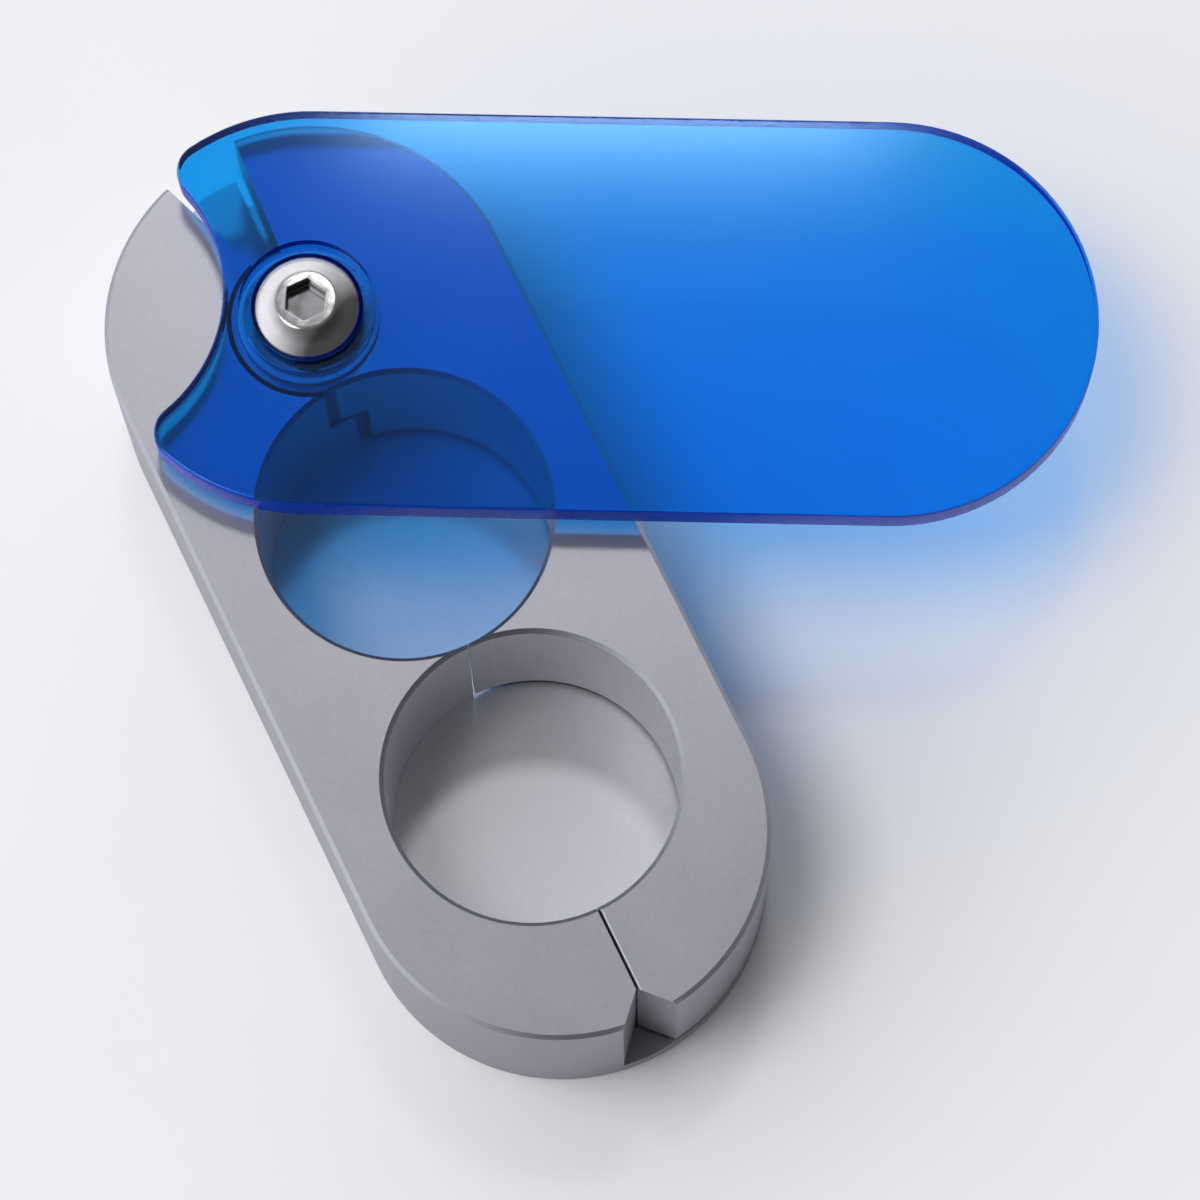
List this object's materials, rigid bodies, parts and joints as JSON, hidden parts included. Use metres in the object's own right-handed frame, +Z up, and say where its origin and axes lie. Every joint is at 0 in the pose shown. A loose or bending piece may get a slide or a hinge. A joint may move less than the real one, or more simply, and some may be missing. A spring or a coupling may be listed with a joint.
{
  "type": "pill splitter",
  "caption": "Pocket pill splitter: hinged aluminium jaws with round pockets and opposed blades, under a see-through cover that swings aside on the same screw.",
  "frame": {"origin": "middle of the flat underside, midway between the pivot's axis and the centre of the tip's arc", "axes": "+Z up; the body lies along Y, pivot towards +Y and tip towards -Y; the swing jaw is on +X"},
  "size_m": [0.0763, 0.0816, 0.0238],
  "materials": {
    "jaw_aluminium": "satin, fine machined grain",
    "blue_polycarbonate": "clear tinted, polished",
    "stainless_steel": "polished",
    "nylon": "natural",
    "spring_steel": "plain"
  },
  "bodies": {
    "base": {"fixed_jaw": "jaw_aluminium", "pivot_screw": "stainless_steel", "pivot_bush": "stainless_steel", "thrust_washer": "nylon", "spacer_washer": "nylon", "wave_washer": "spring_steel"},
    "jaw": {"swing_jaw": "jaw_aluminium"},
    "lid": {"cover": "blue_polycarbonate"}
  },
  "joints": [
    {"name": "jaw_hinge", "type": "hinge", "parent": "base", "child": "jaw", "pos_m": [0, 0.02375, 0.0138], "axis": [0, 0, 1], "range_deg": [0, 21.5]},
    {"name": "cover_hinge", "type": "hinge", "parent": "base", "child": "lid", "pos_m": [0, 0.02375, 0.021], "axis": [0, 0, 1], "range_deg": [-63, 117]}
  ]
}
